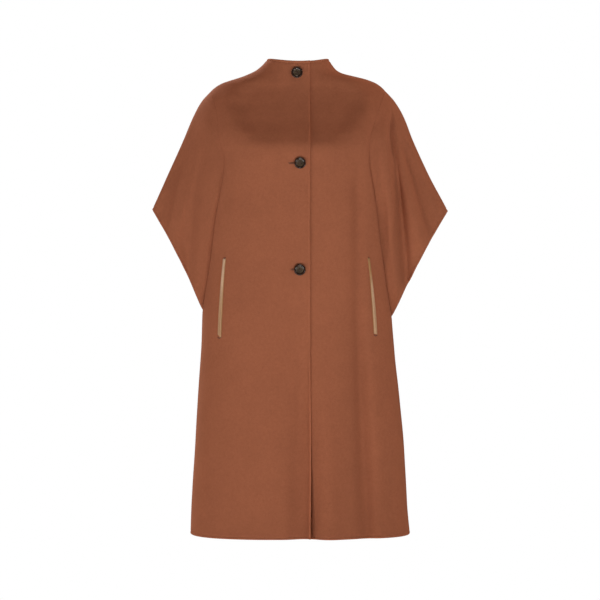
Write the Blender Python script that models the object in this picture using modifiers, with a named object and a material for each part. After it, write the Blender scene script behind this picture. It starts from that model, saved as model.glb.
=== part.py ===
"""A cape coat of double-faced felted wool, filled out as it is worn, with no wearer.

Metres, +Z up, the fronts towards -Y and the wearer's right towards -X. The origin is in the
neck, level with the shoulders that hold the coat up. Each piece that is cut and sewn is one
object: a slab of cloth, bent into the form that its table rows and formulas give.
"""

import math
from bisect import bisect_right
from collections import namedtuple

import bmesh
import bpy
from mathutils import Vector

# ---- driving sizes ------------------------------------------------------------------------

CLOTH = 0.0025           # thickness of the double-faced wool
SEAM_GAP = 0.0005        # between two pieces that are sewn together
LAP_GAP = 0.0005         # between the right front and the left front under it
WELT_PROUD = 0.0006      # how far the welts stand off the faceted cloth they lie on
BUTTON_PROUD = 0.0005    # and the backs of the buttons

NECK_TOP = 0.0354        # height of the funnel at its side seams
NECK_BASE = -0.0500      # height where the funnel grows out of the shoulders
NECK_DIP = 0.0100        # how much lower the funnel is at the centre front
SHOULDER = -0.0340       # height of the shoulder points, where the sleeves begin
JOINT = -0.5210          # height where sleeve, side seam and fronts come together
HEM = -0.9975

LAP_HALF = 0.0241        # the fronts lap over each other this far past the centre
LAP_BLEND = 0.0350       # the left front comes level with the right one over this width
LAP_LIFT = 0.0045        # how far the edge of the lap stands off at the hem
LAP_LIFT_TOP = -0.76     # height where the edge starts to stand off
LAP_LIFT_WIDTH = 0.0180  # width of the strip along the edge that stands off

SLEEVE_TIP = -0.2955     # height of the outer corner of the sleeve
SLEEVE_DEPTH = 0.0580    # half the depth of the sleeve's opening near the body
SLEEVE_FULLNESS = 0.45   # how much the sleeve bulges between the seam and the overarm fold
SLEEVE_HOLLOW = 0.0062   # how far the sleeve's hem bows in towards the body
SHOULDER_RADIUS = 0.0300  # roundness of the overarm fold at the shoulder
FOLD_RADIUS = 0.0060     # roundness of the overarm fold at the tip

LEAN = 0.0072            # the left side hangs this much lower than the middle, at the joint
LEAN_REACH = 0.1700      # and less so, the further above or below the joint

BUTTON_RADIUS = 0.01225
BUTTON_THICKNESS = 0.0040
BUTTON_BACK = 0.70       # how much of the button's radius its flat back takes
BUTTON_HOLE_RADIUS = 0.0011
BUTTON_HOLE_SPACING = 0.0042
WELT_WIDTH = 0.0088
WELT_THICKNESS = 0.0016

FRONT, BACK = -1, 1
RIGHT, LEFT = -1, 1      # the wearer's sides, along X
QUARTER = math.pi / 2

# ---- tables -------------------------------------------------------------------------------

# Edges seen from the front: half the width at a height, and how far its middle lies off centre.
Edge = namedtuple("Edge", "z half shift")

OUTLINE = [
    Edge(z=0.0354, half=0.0662, shift=-0.0021),    # top of the funnel
    Edge(z=0.0217, half=0.0769, shift=-0.0038),
    Edge(z=0.0107, half=0.0887, shift=-0.0059),
    Edge(z=0.0042, half=0.1009, shift=-0.0064),    # side of the neck
    Edge(z=-0.0024, half=0.1202, shift=-0.0034),
    Edge(z=-0.0112, half=0.1509, shift=-0.0004),
    Edge(z=-0.0199, half=0.1719, shift=-0.0013),
    Edge(z=-0.0340, half=0.1900, shift=-0.0023),   # shoulder point
    Edge(z=-0.0571, half=0.2100, shift=-0.0016),   # from here down to the joint the sleeve
    Edge(z=-0.0850, half=0.2190, shift=-0.0012),   # hides the side, which only sets how the
    Edge(z=-0.1300, half=0.2120, shift=-0.0025),   # fronts and the back curve towards it
    Edge(z=-0.1900, half=0.2030, shift=-0.0035),
    Edge(z=-0.2800, half=0.2000, shift=-0.0040),
    Edge(z=-0.3700, half=0.2005, shift=-0.0040),
    Edge(z=-0.5210, half=0.2066, shift=-0.0035),   # joint
    Edge(z=-0.6018, half=0.2113, shift=-0.0017),
    Edge(z=-0.7112, half=0.2207, shift=-0.0004),
    Edge(z=-0.8205, half=0.2284, shift=0.0011),
    Edge(z=-0.9300, half=0.2349, shift=0.0012),
    Edge(z=-0.9975, half=0.2390, shift=0.0030),    # hem
]

ARMHOLE = [
    Edge(z=-0.0340, half=0.1900, shift=-0.0023),
    Edge(z=-0.0900, half=0.1735, shift=-0.0040),
    Edge(z=-0.1430, half=0.1638, shift=-0.0090),
    Edge(z=-0.1900, half=0.1578, shift=-0.0045),
    Edge(z=-0.2400, half=0.1645, shift=-0.0037),
    Edge(z=-0.3140, half=0.1780, shift=-0.0048),
    Edge(z=-0.4380, half=0.1930, shift=-0.0048),
    Edge(z=-0.5210, half=0.2066, shift=-0.0035),
]

OVERARM = [
    Edge(z=-0.0340, half=0.1900, shift=-0.0023),
    Edge(z=-0.0571, half=0.2108, shift=-0.0016),
    Edge(z=-0.0877, half=0.2283, shift=-0.0008),
    Edge(z=-0.1424, half=0.2512, shift=-0.0015),
    Edge(z=-0.2080, half=0.2808, shift=-0.0013),
    Edge(z=-0.2955, half=0.3237, shift=0.0019),
]

# Level sections: how deep the body is before and behind the side seams, and how square its
# section is, from 2 for an ellipse to 3 for one with flat faces and rounded corners.
Section = namedtuple("Section", "z front back square")

SECTIONS = [
    Section(z=0.0354, front=0.0640, back=0.0520, square=2.1),
    Section(z=0.0042, front=0.0670, back=0.0670, square=2.0),
    Section(z=-0.0199, front=0.0745, back=0.0790, square=1.95),
    Section(z=-0.0571, front=0.0925, back=0.0930, square=2.1),
    Section(z=-0.1000, front=0.1160, back=0.1040, square=2.35),
    Section(z=-0.1400, front=0.1375, back=0.1090, square=2.5),
    Section(z=-0.1650, front=0.1425, back=0.1095, square=2.55),   # fullest part of the chest
    Section(z=-0.2800, front=0.1435, back=0.1100, square=2.65),
    Section(z=-0.3700, front=0.1445, back=0.1160, square=2.7),
    Section(z=-0.5210, front=0.1480, back=0.1330, square=2.8),
    Section(z=-0.7112, front=0.1570, back=0.1470, square=2.9),
    Section(z=-0.9975, front=0.1700, back=0.1650, square=3.0),
]

# Soft folds of the body: where each runs at its top and at the hem, its half width, and how
# far it stands out at the hem (in, where negative).
BodyFold = namedtuple("BodyFold", "layer top_x top_z hem_x width height")

BODY_FOLDS = [
    BodyFold(layer=FRONT, top_x=0.115, top_z=-0.50, hem_x=0.141, width=0.030, height=-0.0070),
    BodyFold(layer=FRONT, top_x=0.052, top_z=-0.62, hem_x=0.068, width=0.024, height=0.0040),
    BodyFold(layer=FRONT, top_x=0.022, top_z=-0.66, hem_x=0.014, width=0.014, height=-0.0060),
    BodyFold(layer=FRONT, top_x=-0.010, top_z=-0.66, hem_x=-0.006, width=0.016, height=-0.0050),
    BodyFold(layer=FRONT, top_x=-0.075, top_z=-0.60, hem_x=-0.085, width=0.040, height=0.0030),
    BodyFold(layer=BACK, top_x=-0.100, top_z=-0.45, hem_x=-0.130, width=0.032, height=-0.0070),
    BodyFold(layer=BACK, top_x=-0.020, top_z=-0.55, hem_x=-0.030, width=0.034, height=0.0050),
    BodyFold(layer=BACK, top_x=0.070, top_z=-0.40, hem_x=0.090, width=0.030, height=-0.0060),
]

# Folds of the sleeves: how far across from the seam (0) to the overarm fold (1) each lies near
# the shoulder and at the hem, its half width across, and how far it stands out at the hem.
SleeveFold = namedtuple("SleeveFold", "side layer top hem width height")

SLEEVE_FOLDS = [
    SleeveFold(side=LEFT, layer=FRONT, top=0.72, hem=0.30, width=0.095, height=-0.0150),
    SleeveFold(side=LEFT, layer=FRONT, top=0.30, hem=0.13, width=0.070, height=0.0050),
    SleeveFold(side=LEFT, layer=FRONT, top=0.62, hem=0.60, width=0.080, height=0.0060),
    SleeveFold(side=LEFT, layer=FRONT, top=0.74, hem=0.76, width=0.055, height=-0.0050),
    SleeveFold(side=RIGHT, layer=FRONT, top=0.70, hem=0.32, width=0.110, height=-0.0070),
    SleeveFold(side=RIGHT, layer=FRONT, top=0.60, hem=0.62, width=0.090, height=0.0050),
    SleeveFold(side=RIGHT, layer=FRONT, top=0.84, hem=0.82, width=0.070, height=-0.0040),
    SleeveFold(side=LEFT, layer=BACK, top=0.68, hem=0.38, width=0.110, height=-0.0100),
    SleeveFold(side=LEFT, layer=BACK, top=0.60, hem=0.68, width=0.090, height=0.0050),
    SleeveFold(side=RIGHT, layer=BACK, top=0.66, hem=0.34, width=0.100, height=-0.0120),
    SleeveFold(side=RIGHT, layer=BACK, top=0.64, hem=0.70, width=0.085, height=0.0050),
]

# Pocket welts: the middle of each end, before the coat's lean.
Welt = namedtuple("Welt", "name top_x top_z hem_x hem_z")

WELTS = [
    Welt(name="welt_right", top_x=-0.1593, top_z=-0.4060, hem_x=-0.1695, hem_z=-0.5740),
    Welt(name="welt_left", top_x=0.1483, top_z=-0.3985, hem_x=0.1625, hem_z=-0.5585),
]

Button = namedtuple("Button", "name x z")

BUTTONS = [
    Button(name="button_top", x=-0.0043, z=0.0065),
    Button(name="button_middle", x=0.0023, z=-0.2009),
    Button(name="button_bottom", x=0.0017, z=-0.4272),
]

# How many cells each slab has.
LAP_COLUMNS = 4
FRONT_COLUMNS = 11
BACK_COLUMNS = 20
SLEEVE_COLUMNS = 18
SHOULDER_ROWS = 9
ARMHOLE_ROWS = 15
SKIRT_ROWS = 7

WOOL = ("felted wool", (0.287, 0.098, 0.050), 0.92)
LEATHER = ("beige leather", (0.462, 0.305, 0.195), 0.55)
HORN = ("dark horn", (0.018, 0.011, 0.008), 0.28)


# ---- curves -------------------------------------------------------------------------------

def smoothstep(start, end, value):
    share = min(max((value - start) / (end - start), 0.0), 1.0)
    return share * share * (3.0 - 2.0 * share)


def mix(first, second, share):
    return first + (second - first) * share


class Curve:
    """One column of a table as a smooth curve of its heights, which never overshoots a row."""

    def __init__(self, rows, column):
        ordered = sorted(rows, key=lambda row: row.z)
        self.places = [row.z for row in ordered]
        self.values = [getattr(row, column) for row in ordered]
        spans = range(len(ordered) - 1)
        steps = [self.places[i + 1] - self.places[i] for i in spans]
        rises = [(self.values[i + 1] - self.values[i]) / steps[i] for i in spans]
        inner = []
        for i in spans[1:]:
            before, after = rises[i - 1], rises[i]
            same_way = before * after > 0.0
            inner.append(2.0 * before * after / (before + after) if same_way else 0.0)
        self.slopes = [rises[0]] + inner + [rises[-1]]

    def __call__(self, place):
        place = min(max(place, self.places[0]), self.places[-1])
        i = min(bisect_right(self.places, place), len(self.places) - 1) - 1
        step = self.places[i + 1] - self.places[i]
        t = (place - self.places[i]) / step
        start, end = self.values[i], self.values[i + 1]
        leave, arrive = self.slopes[i] * step, self.slopes[i + 1] * step
        return (
            start * (1.0 + 2.0 * t) * (1.0 - t) ** 2
            + leave * t * (1.0 - t) ** 2
            + end * t * t * (3.0 - 2.0 * t)
            + arrive * t * t * (t - 1.0)
        )


outline_half = Curve(OUTLINE, "half")
outline_shift = Curve(OUTLINE, "shift")
armhole_half = Curve(ARMHOLE, "half")
armhole_shift = Curve(ARMHOLE, "shift")
overarm_half = Curve(OVERARM, "half")
overarm_shift = Curve(OVERARM, "shift")
section_depth = {FRONT: Curve(SECTIONS, "front"), BACK: Curve(SECTIONS, "back")}
section_square = Curve(SECTIONS, "square")


def bump(distance):
    """A soft hump, 1 at no distance and almost gone at 2."""
    return math.exp(-distance * distance)


# ---- body: fronts and back ----------------------------------------------------------------

def share_at(x, z):
    """How far out x is at height z, as a share of the way to the side seam."""
    half, shift = outline_half(z), outline_shift(z)
    share = x / half
    for _ in range(4):                 # settles to well under a hundredth of a millimetre
        share = (x - shift * share * share) / half
    return max(-1.0, min(1.0, share))


def body_folds(layer, x, z):
    total = 0.0
    for fold in BODY_FOLDS:
        if fold.layer != layer or z > fold.top_z:
            continue
        down = (z - fold.top_z) / (HEM - fold.top_z)
        middle = mix(fold.top_x, fold.hem_x, down)
        total += fold.height * smoothstep(0.0, 1.0, down) * bump((x - middle) / fold.width)
    return total


def body_point(layer, angle, z):
    """The body's outer face at a height. The angle is 0 at the centre and a quarter turn at the side."""
    share = math.sin(angle)
    x = outline_half(z) * share + outline_shift(z) * share * share
    square = section_square(z)
    left_over = max(1.0 - abs(share) ** square, 0.0)
    depth = section_depth[layer](z) * left_over ** (1.0 / square)
    depth += body_folds(layer, x, z) * left_over
    if math.cos(angle) < 0.0:
        depth = -depth
    if layer == FRONT:
        z -= NECK_DIP * (1.0 - share * share) * smoothstep(NECK_BASE, NECK_TOP, z)
    return Vector((x, layer * depth, z))


def seam_angle(side, z):
    """Where a front or the back ends: at the armhole beside a sleeve, else at the side seam."""
    if not JOINT < z < SHOULDER:
        return side * QUARTER
    return math.asin(share_at(side * armhole_half(z) + armhole_shift(z), z))


def body_normal(layer, angle, z):
    step = 1e-4
    across = body_point(layer, angle + step, z) - body_point(layer, angle - step, z)
    up = body_point(layer, angle, min(z + step, NECK_TOP)) - body_point(layer, angle, z - step)
    return (-layer * across.cross(up)).normalized()


# ---- sleeves ------------------------------------------------------------------------------

def sleeve_ends(side, down):
    """A row of the sleeve from its seam to its overarm fold, as (x, z) at each end."""
    seam_z = mix(SHOULDER, JOINT, down)
    fold_z = mix(SHOULDER, SLEEVE_TIP, down)
    seam_x = side * armhole_half(seam_z) + armhole_shift(seam_z)
    fold_x = side * overarm_half(fold_z) + overarm_shift(fold_z)
    return (seam_x, seam_z), (fold_x, fold_z)


def sleeve_folds(side, layer, across, down):
    total = 0.0
    for fold in SLEEVE_FOLDS:
        if (fold.side, fold.layer) == (side, layer):
            middle = mix(fold.top, fold.hem, down)
            total += fold.height * smoothstep(0.1, 0.75, down) * bump((across - middle) / fold.width)
    clear_of_seam = smoothstep(0.0, 0.12, across)
    clear_of_fold = smoothstep(1.0, 0.85, across)
    return total * clear_of_seam * clear_of_fold


def sleeve_point(side, turn, down):
    """The sleeve's outer face. The turn runs from -1 at the front seam, over 0 at the overarm
    fold, to 1 at the back seam, and down from 0 at the shoulder point to 1 at the hem."""
    layer = FRONT if turn < 0.0 else BACK
    across = 1.0 - abs(turn) ** 1.5    # the columns lie closer towards the overarm fold
    (seam_x, seam_z), (fold_x, fold_z) = sleeve_ends(side, down)
    x = mix(seam_x, fold_x, across)
    z = mix(seam_z, fold_z, across)
    x -= side * SLEEVE_HOLLOW * 4.0 * across * (1.0 - across) * down ** 3
    # The seam meets the body's own depth, which is nothing at the joint. The sleeve is never
    # shallower than its opening, which it reaches a short way out from the seam.
    seam_depth = abs(body_point(layer, seam_angle(side, seam_z), seam_z).y)
    hem_depth = SLEEVE_DEPTH * down
    full_depth = (seam_depth ** 6 + hem_depth ** 6) ** (1.0 / 6.0)
    depth = full_depth * (1.0 - across) * (1.0 + SLEEVE_FULLNESS * across)
    depth -= (full_depth - seam_depth) * (1.0 - across) ** 10
    depth += sleeve_folds(side, layer, across, down)
    radius = mix(SHOULDER_RADIUS, FOLD_RADIUS, smoothstep(0.0, 0.6, down))
    from_fold = (1.0 - across) * abs(fold_x - seam_x)
    depth = math.sqrt(max(depth, 0.0) ** 2 + 2.0 * radius * from_fold * across ** 2)
    return Vector((x, layer * depth, z))


def sleeve_normal(side, turn, down):
    if down == 0.0:
        return body_normal(FRONT, side * QUARTER, SHOULDER)
    step = 1e-4
    low, high = max(turn - step, -1.0), min(turn + step, 1.0)
    across = sleeve_point(side, high, down) - sleeve_point(side, low, down)
    along = sleeve_point(side, turn, min(down + step, 1.0)) - sleeve_point(side, turn, down - step)
    return (-side * across.cross(along)).normalized()


def armhole_normal(side, layer, z):
    """Halfway between the body's and the sleeve's own normals, so that their edges are mitred."""
    down = (z - SHOULDER) / (JOINT - SHOULDER)
    body = body_normal(layer, seam_angle(side, z), z)
    return (body + sleeve_normal(side, layer, down)).normalized()


# ---- from forms to pieces -----------------------------------------------------------------

def lean(point):
    """The whole coat hangs a little lower on its left."""
    beside = point.x / outline_half(JOINT)
    low = LEAN * beside * bump((point.z - JOINT) / LEAN_REACH)
    return Vector((point.x, point.y, point.z - low))


def clear_of_seam(point, layer):
    """Half a seam's gap kept to the plane where fronts meet back."""
    return Vector((point.x, point.y + layer * SEAM_GAP / 2.0, point.z))


def levels(top, bottom, count, closer_ends=0.0):
    """Heights that cut the seam between front and back, or the armhole, into like lengths, or
    into shorter ones towards its ends."""
    fine = 600
    heights = [mix(top, bottom, i / fine) for i in range(fine + 1)]
    points = [body_point(FRONT, seam_angle(LEFT, z), z) for z in heights]
    reached = [0.0]
    for before, after in zip(points, points[1:]):
        reached.append(reached[-1] + (after - before).length)
    chosen = [top]
    for i in range(1, count):
        share = mix(i / count, smoothstep(0, count, i), closer_ends)
        chosen.append(heights[bisect_right(reached, reached[-1] * share)])
    return chosen


SLEEVE_LEVELS = levels(SHOULDER, JOINT, ARMHOLE_ROWS, closer_ends=0.6)
BODY_LEVELS = (
    levels(NECK_TOP, SHOULDER, SHOULDER_ROWS)
    + SLEEVE_LEVELS
    + levels(JOINT, HEM, SKIRT_ROWS)
    + [HEM]
)


def lap_lift(x, z):
    """How far the edge of the right front stands off towards the hem."""
    near_edge = smoothstep(LAP_HALF - LAP_LIFT_WIDTH, LAP_HALF, x)
    return LAP_LIFT * near_edge * smoothstep(LAP_LIFT_TOP, HEM, z)


def front_form(side):
    """The form of one front, from its lap edge to its outer seam."""

    def place(across, along, deep):
        z = BODY_LEVELS[round(along * (len(BODY_LEVELS) - 1))]
        column = across * (LAP_COLUMNS + FRONT_COLUMNS)
        if column <= LAP_COLUMNS:
            x = side * LAP_HALF * (2.0 * column / LAP_COLUMNS - 1.0)
            angle = math.asin(share_at(x, z))
        else:
            past_lap = math.asin(share_at(side * LAP_HALF, z))
            angle = mix(past_lap, seam_angle(side, z), (column - LAP_COLUMNS) / FRONT_COLUMNS)
        point = body_point(FRONT, angle, z)
        normal = body_normal(FRONT, angle, z)
        if across == 1.0 and JOINT < z < SHOULDER:
            normal = armhole_normal(side, FRONT, z)
        out = -deep * CLOTH
        if side == LEFT:
            under = smoothstep(LAP_HALF + LAP_BLEND, LAP_HALF, point.x)
            out -= under * (CLOTH + LAP_GAP)
        else:
            out += lap_lift(point.x, z)
        return lean(clear_of_seam(point + normal * out, FRONT))

    return place


def back_form(across, along, deep):
    z = BODY_LEVELS[round(along * (len(BODY_LEVELS) - 1))]
    angle = mix(seam_angle(RIGHT, z), seam_angle(LEFT, z), across)
    point = body_point(BACK, angle, z)
    normal = body_normal(BACK, angle, z)
    if across in (0.0, 1.0) and JOINT < z < SHOULDER:
        normal = armhole_normal(LEFT if across else RIGHT, BACK, z)
    return lean(clear_of_seam(point - normal * deep * CLOTH, BACK))


def sleeve_form(side):
    """The form of one sleeve, from its front seam over the overarm fold to its back seam."""
    heights = SLEEVE_LEVELS + [JOINT]

    def place(across, along, deep):
        z = heights[round(along * (len(heights) - 1))]
        down = (z - SHOULDER) / (JOINT - SHOULDER)
        turn = 2.0 * across - 1.0
        if abs(turn) < 1e-6:
            turn = 0.0
        point = sleeve_point(side, turn, down)
        normal = sleeve_normal(side, turn, down)
        if abs(turn) == 1.0 and down > 0.0:
            normal = armhole_normal(side, int(turn), z)
        point -= normal * deep * CLOTH
        if turn:
            point.y += math.copysign(SEAM_GAP / 2.0, turn) * abs(turn)
        point.x += side * SEAM_GAP
        point.z += SEAM_GAP * (2.0 * down - 1.0)
        return lean(point)

    return place


def material(name, colour, roughness):
    made = bpy.data.materials.get(name)
    if made:
        return made
    made = bpy.data.materials.new(name)
    made.use_nodes = True
    shader = made.node_tree.nodes["Principled BSDF"]
    shader.inputs["Base Color"].default_value = (*colour, 1.0)
    shader.inputs["Roughness"].default_value = roughness
    shader.inputs["Metallic"].default_value = 0.0
    return made


def add_object(name, mesh, finish):
    made = bpy.data.objects.new(name, mesh)
    mesh.materials.append(material(*finish))
    pieces.objects.link(made)
    return made


def slab(name, columns, rows, form, finish):
    """A slab of cloth of columns by rows cells, with each corner placed by form(across, along,
    deep), which all run from 0 to 1. Deep is 0 on the outer face and 1 on the inner one."""
    shape = bmesh.new()
    bmesh.ops.create_grid(shape, x_segments=columns, y_segments=rows, size=0.5)
    outer = shape.faces[:]
    grown = bmesh.ops.extrude_face_region(shape, geom=outer, use_keep_orig=True)
    inner = [item for item in grown["geom"] if isinstance(item, bmesh.types.BMVert)]
    bmesh.ops.translate(shape, vec=(0.0, 0.0, 1.0), verts=inner)
    for corner in shape.verts:
        across = round((corner.co.x + 0.5) * columns) / columns
        along = round((corner.co.y + 0.5) * rows) / rows
        corner.co = form(across, along, corner.co.z)
    bmesh.ops.remove_doubles(shape, verts=shape.verts[:], dist=1e-6)
    bmesh.ops.triangulate(shape, faces=shape.faces[:], quad_method="SHORT_EDGE")
    bmesh.ops.recalc_face_normals(shape, faces=shape.faces[:])
    mesh = bpy.data.meshes.new(name)
    shape.to_mesh(mesh)
    shape.free()
    mesh.shade_smooth()
    mesh.set_sharp_from_angle(angle=math.radians(50.0))
    return add_object(name, mesh, finish)


# ---- welts and buttons --------------------------------------------------------------------

def front_surface(x, z):
    """A point of the fronts' outer face and the normal there."""
    angle = math.asin(share_at(x, z))
    return body_point(FRONT, angle, z), body_normal(FRONT, angle, z)


def welt_form(welt):
    """A strip that lies along its pocket's mouth, moved out from the front that carries it."""
    run_x = welt.hem_x - welt.top_x
    run_z = welt.hem_z - welt.top_z
    length = math.hypot(run_x, run_z)

    def place(across, along, deep):
        aside = (across - 0.5) * WELT_WIDTH
        x = mix(welt.top_x, welt.hem_x, along) - aside * run_z / length
        z = mix(welt.top_z, welt.hem_z, along) + aside * run_x / length
        point, normal = front_surface(x, z)
        point += normal * (WELT_PROUD + (1.0 - deep) * WELT_THICKNESS)
        return lean(clear_of_seam(point, FRONT))

    return place


def button_profile():
    """Half of the button's section: (radius, height) from the middle of its face to its back."""
    rim = BUTTON_RADIUS
    top = BUTTON_THICKNESS
    return [
        (0.0, top * 0.62),
        (rim * 0.52, top * 0.62),
        (rim * 0.66, top * 0.86),
        (rim * 0.80, top),
        (rim * 0.93, top * 0.90),
        (rim, top * 0.62),
        (rim * 0.97, top * 0.34),
        (rim * BUTTON_BACK, 0.0),
        (0.0, 0.0),
    ]


def button_holes():
    """Four upright rods, as one cutter."""
    shape = bmesh.new()
    for corner in range(4):
        turn = QUARTER * (corner + 0.5)
        made = bmesh.ops.create_cone(
            shape,
            cap_ends=True,
            segments=8,
            radius1=BUTTON_HOLE_RADIUS,
            radius2=BUTTON_HOLE_RADIUS,
            depth=4.0 * BUTTON_THICKNESS,
        )
        reach = BUTTON_HOLE_SPACING / math.sqrt(2.0)
        spot = (reach * math.cos(turn), reach * math.sin(turn), 0.0)
        bmesh.ops.translate(shape, vec=spot, verts=made["verts"])
    mesh = bpy.data.meshes.new("button_holes")
    shape.to_mesh(mesh)
    shape.free()
    return mesh


def hollow_under(button):
    """How far the cloth at the edge of a button's back rises above the spot under its middle."""
    point, normal = front_surface(button.x, button.z)
    rises = [0.0]
    for turn in range(12):
        angle = QUARTER * turn / 3.0
        x = button.x + BUTTON_RADIUS * BUTTON_BACK * math.cos(angle)
        z = button.z + BUTTON_RADIUS * BUTTON_BACK * math.sin(angle)
        rises.append((front_surface(x, z)[0] - point).dot(normal))
    return max(rises)


def add_button(button, profile, holes):
    point, normal = front_surface(button.x, button.z)
    seat = lean(clear_of_seam(point + normal * (BUTTON_PROUD + hollow_under(button)), FRONT))
    turned = normal.to_track_quat("Z", "Y")
    made = add_object(button.name, profile.copy(), HORN)
    cutter = bpy.data.objects.new(button.name + "_holes", holes)
    cutters.objects.link(cutter)
    cutter.hide_render = True
    cutter.display_type = "WIRE"
    for thing in (made, cutter):
        thing.rotation_mode = "QUATERNION"
        thing.rotation_quaternion = turned
        thing.location = seat
    screw = made.modifiers.new("turned", "SCREW")
    screw.steps = screw.render_steps = 24
    screw.use_merge_vertices = True
    screw.merge_threshold = 0.00005
    cut = made.modifiers.new("holes", "BOOLEAN")
    cut.operation = "DIFFERENCE"
    cut.solver = "EXACT"
    cut.object = cutter


def turned_profile():
    shape = bmesh.new()
    spots = [shape.verts.new((radius, 0.0, height)) for radius, height in button_profile()]
    for first, second in zip(spots, spots[1:]):
        shape.edges.new((first, second))
    mesh = bpy.data.meshes.new("button_profile")
    shape.to_mesh(mesh)
    shape.free()
    return mesh


# ---- the coat -----------------------------------------------------------------------------

for old in list(bpy.data.objects):
    bpy.data.objects.remove(old, do_unlink=True)

pieces = bpy.data.collections.new("cape_coat")
cutters = bpy.data.collections.new("cutters")
for collection in (pieces, cutters):
    bpy.context.scene.collection.children.link(collection)

body_rows = len(BODY_LEVELS) - 1
slab("front_right", LAP_COLUMNS + FRONT_COLUMNS, body_rows, front_form(RIGHT), WOOL)
slab("front_left", LAP_COLUMNS + FRONT_COLUMNS, body_rows, front_form(LEFT), WOOL)
slab("back", BACK_COLUMNS, body_rows, back_form, WOOL)
slab("sleeve_right", SLEEVE_COLUMNS, ARMHOLE_ROWS, sleeve_form(RIGHT), WOOL)
slab("sleeve_left", SLEEVE_COLUMNS, ARMHOLE_ROWS, sleeve_form(LEFT), WOOL)
for welt in WELTS:
    slab(welt.name, 2, 12, welt_form(welt), LEATHER)
profile = turned_profile()
holes = button_holes()
for button in BUTTONS:
    add_button(button, profile, holes)
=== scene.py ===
"""A knee-length cape coat of double-faced felted wool, filled out as it is worn.

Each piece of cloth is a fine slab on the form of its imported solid. Metres, +Z up, the fronts
towards -Y and the wearer's right towards -X, with the origin in the neck.
"""

import math
from collections import namedtuple

import bmesh
import bpy
import numpy as np
from mathutils import Matrix, Vector


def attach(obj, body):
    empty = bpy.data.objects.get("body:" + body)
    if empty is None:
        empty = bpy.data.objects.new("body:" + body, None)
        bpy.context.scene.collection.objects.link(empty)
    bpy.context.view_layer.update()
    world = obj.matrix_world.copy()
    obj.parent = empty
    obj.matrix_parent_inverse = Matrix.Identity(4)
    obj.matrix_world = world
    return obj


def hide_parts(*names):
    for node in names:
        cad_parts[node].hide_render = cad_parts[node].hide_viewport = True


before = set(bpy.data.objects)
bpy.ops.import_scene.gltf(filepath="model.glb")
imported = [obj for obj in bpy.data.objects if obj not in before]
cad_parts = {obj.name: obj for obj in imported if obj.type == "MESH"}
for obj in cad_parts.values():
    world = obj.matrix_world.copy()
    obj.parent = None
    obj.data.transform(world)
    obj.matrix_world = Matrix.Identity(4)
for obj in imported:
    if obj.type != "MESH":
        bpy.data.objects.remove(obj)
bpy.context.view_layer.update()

# ---- tables and curves ----

def table(columns, *rows, defaults=()):
    """Rows of values that go by the names of their columns, with defaults for the last ones."""
    named = namedtuple("Row", columns, defaults=defaults)
    return [named(*row) for row in rows]


class Curve:
    """A smooth curve through values at rising places, which never overshoots one of them."""

    def __init__(self, places, values):
        self.places, self.values = places, values
        rises = np.diff(values) / np.diff(places)
        before, after = rises[:-1], rises[1:]
        same_way = before * after > 0.0
        total = np.where(same_way, before + after, 1.0)
        inner = np.where(same_way, 2.0 * before * after / total, 0.0)
        self.slopes = np.concatenate([rises[:1], inner, rises[-1:]])

    def __call__(self, place):
        place = np.clip(place, self.places[0], self.places[-1])
        i = np.clip(np.searchsorted(self.places, place, "right") - 1, 0, len(self.places) - 2)
        step = self.places[i + 1] - self.places[i]
        t = (place - self.places[i]) / step
        leave, arrive = self.slopes[i] * step, self.slopes[i + 1] * step
        between = mix(self.values[i], self.values[i + 1], t * t * (3.0 - 2.0 * t))
        return between + t * (1.0 - t) * (leave * (1.0 - t) - arrive * t)


def curves(columns, *rows):
    """A table from the top down, with each column as a curve of the heights in its first one."""
    heights, *others = np.array(rows)[::-1].T
    return namedtuple("Curves", columns)(heights, *(Curve(heights, other) for other in others))


def smoothstep(start, end, value):
    share = np.clip((value - start) / (end - start), 0.0, 1.0)
    return share * share * (3.0 - 2.0 * share)


def mix(first, second, share):
    return first + (second - first) * share


def bump(distance):
    """A soft hump, 1 at no distance and almost gone at 2."""
    return np.exp(-distance * distance)


# ---- driving sizes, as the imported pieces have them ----

CLOTH = 0.0025  # thickness of the double-faced wool
SEAM_GAP = 0.0001  # between two pieces that are sewn together
LAP_GAP = 0.0005  # between the two fronts where they lap

NECK_TOP = 0.0354  # height of the funnel at its side seams
NECK_BASE = -0.05
NECK_DIP = 0.01  # how much lower the funnel is at the centre front
SHOULDER = -0.034  # height of the shoulder points, where the sleeves begin
JOINT = -0.521  # height where sleeve, side seam and fronts meet
HEM = -0.9975

LAP_HALF = 0.0241  # the fronts lap this far past the centre
LAP_BLEND = 0.035
LAP_LIFT = 0.0045  # how far the edge of the lap stands off at the hem
LAP_LIFT_TOP = -0.76
LAP_LIFT_WIDTH = 0.018

SLEEVE_TIP = -0.2955
SLEEVE_DEPTH = 0.058
SLEEVE_FULLNESS = 0.45
SLEEVE_HOLLOW = 0.0062
SHOULDER_RADIUS = 0.03
FOLD_RADIUS = 0.006

LEAN = 0.0072  # the left side hangs this much lower than the middle, at the joint
LEAN_REACH = 0.17

FRONT, BACK = -1, 1  # along Y
RIGHT, LEFT = -1, 1  # the wearer's sides, along X
QUARTER = math.pi / 2

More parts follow.
